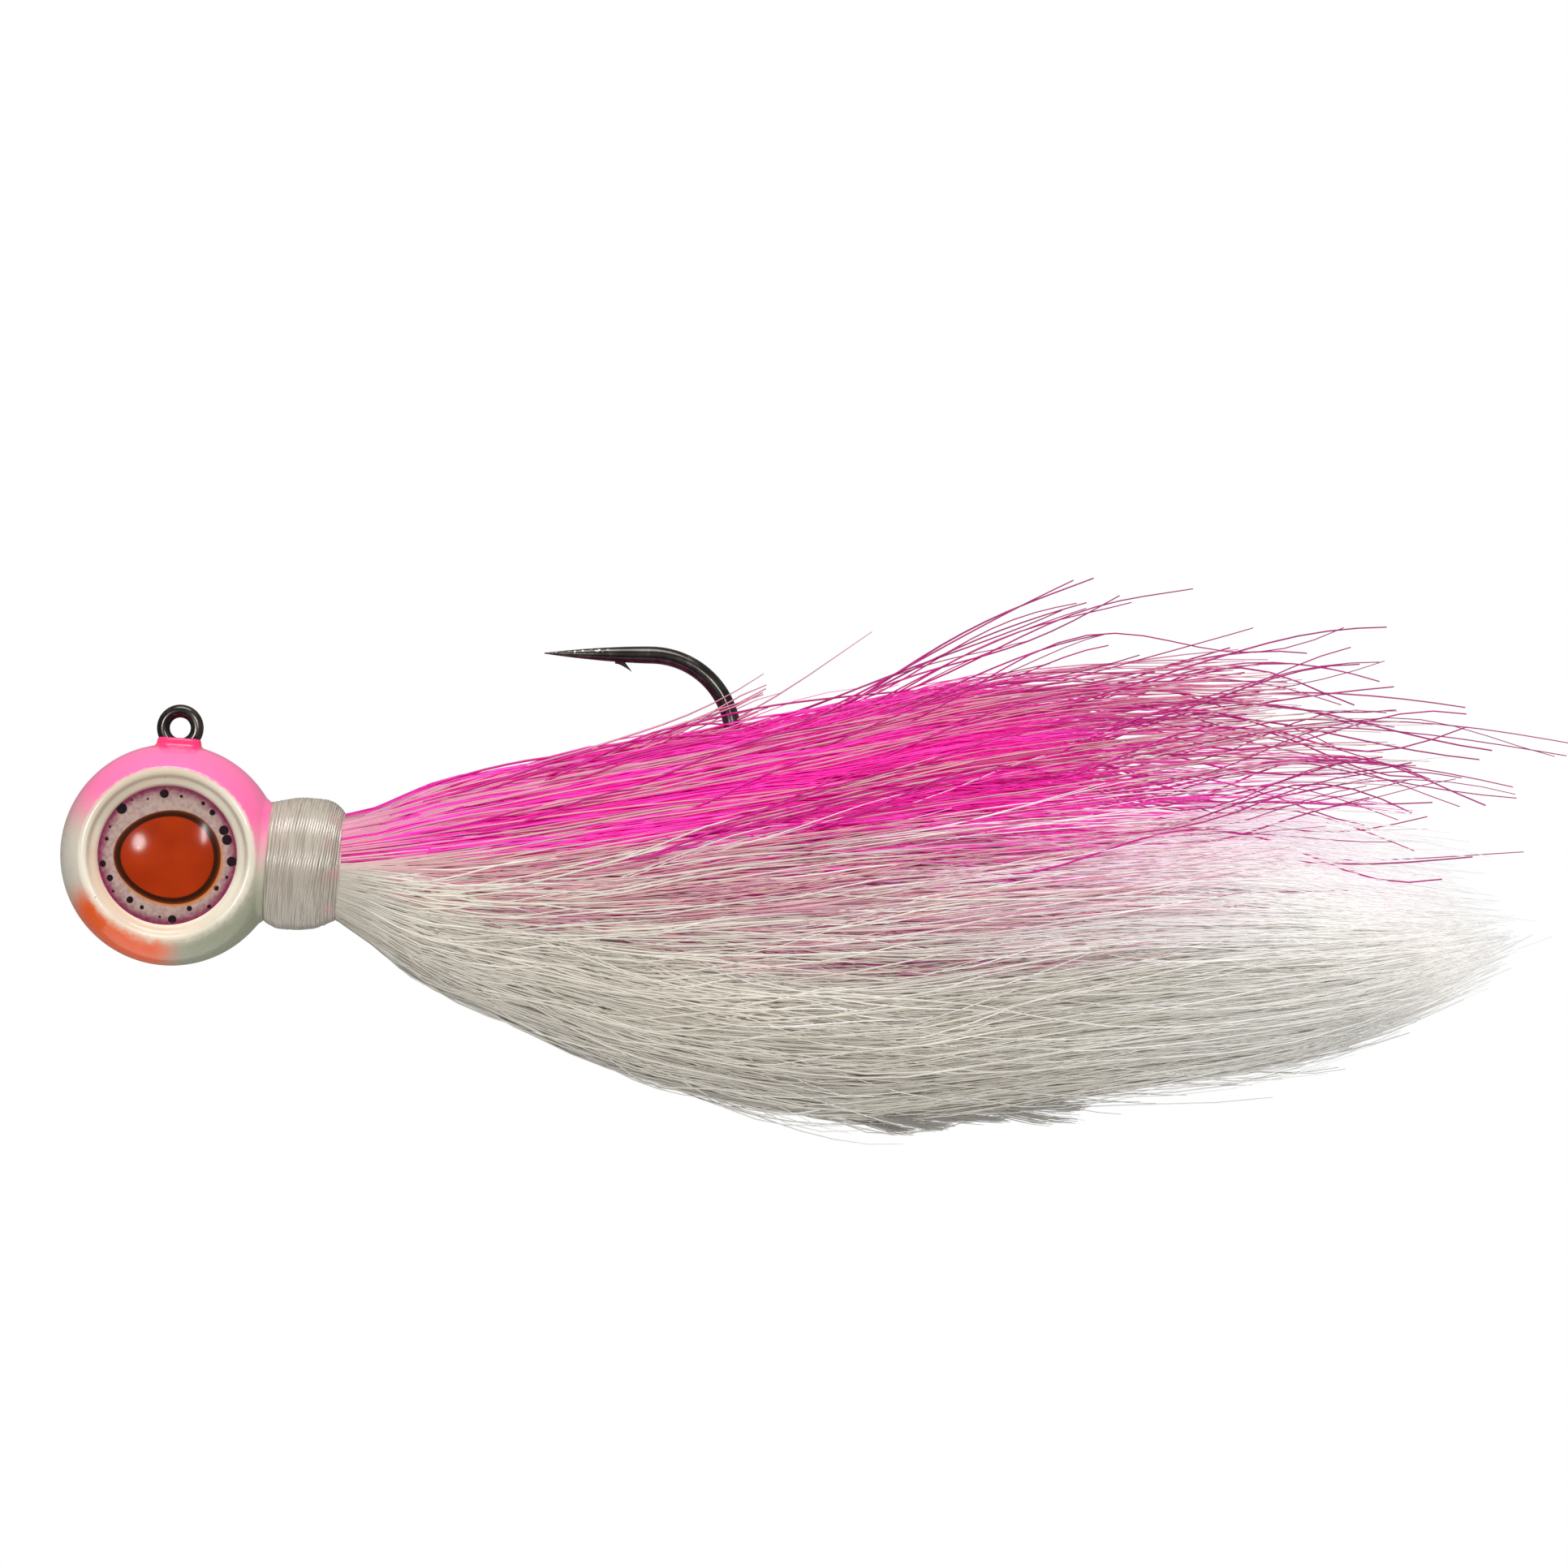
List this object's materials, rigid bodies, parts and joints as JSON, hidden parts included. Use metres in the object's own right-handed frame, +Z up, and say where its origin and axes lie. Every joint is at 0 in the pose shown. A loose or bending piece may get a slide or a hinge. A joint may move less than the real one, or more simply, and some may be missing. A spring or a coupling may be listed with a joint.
{
  "type": "bucktail jig",
  "caption": "Fishing jig with a flat-sided ball head cast on an upturned hook, domed eyes and a two-colour hair tail tied on with thread; the tail flares at its tie.",
  "frame": {"origin": "centre of the line-tie eye of the hook", "axes": "+X along the hook shank towards the tail, +Y to the lure's right, +Z up, on the side of the hook point"},
  "size_m": [0.1527, 0.023, 0.0459],
  "materials": {
    "black_nickel": "polished",
    "head_paint": "gloss",
    "eye_print": "satin",
    "eye_resin": "gloss",
    "white_thread": "satin",
    "pink_hair": "satin",
    "white_hair": "satin"
  },
  "bodies": {
    "head": {"jig_hook": "black_nickel", "head_casting": "head_paint", "eye_decal_left": "eye_print", "eye_dome_left": "eye_resin", "eye_decal_right": "eye_print", "eye_dome_right": "eye_resin", "thread_underwrap": "white_thread", "thread_wrap": "white_thread", "pink_tied_ends_left": "pink_hair", "white_tied_ends_left": "white_hair", "pink_tied_ends_right": "pink_hair", "white_tied_ends_right": "white_hair"},
    "pink_left": {"pink_crest_left": "pink_hair", "pink_flank_left": "pink_hair"},
    "pink_right": {"pink_crest_right": "pink_hair", "pink_flank_right": "pink_hair"},
    "white_left": {"white_flank_left": "white_hair", "white_belly_left": "white_hair"},
    "white_right": {"white_flank_right": "white_hair", "white_belly_right": "white_hair"}
  },
  "joints": [
    {"name": "pink_left_flare", "type": "hinge", "parent": "head", "child": "pink_left", "pos_m": [0.01787, -0.00371, -0.00919], "axis": [0, -0.7071, -0.7071], "range_deg": [0, 14], "stiffness_Nm_per_rad": 0.06, "springref_deg": -2.86},
    {"name": "pink_right_flare", "type": "hinge", "parent": "head", "child": "pink_right", "pos_m": [0.01787, 0.00371, -0.00919], "axis": [0, -0.7071, 0.7071], "range_deg": [0, 14], "stiffness_Nm_per_rad": 0.06, "springref_deg": -2.86},
    {"name": "white_left_flare", "type": "hinge", "parent": "head", "child": "white_left", "pos_m": [0.01787, -0.00371, -0.01661], "axis": [0, 0.7071, -0.7071], "range_deg": [0, 14], "stiffness_Nm_per_rad": 0.06, "springref_deg": -2.86},
    {"name": "white_right_flare", "type": "hinge", "parent": "head", "child": "white_right", "pos_m": [0.01787, 0.00371, -0.01661], "axis": [0, 0.7071, 0.7071], "range_deg": [0, 14], "stiffness_Nm_per_rad": 0.06, "springref_deg": -2.86}
  ]
}
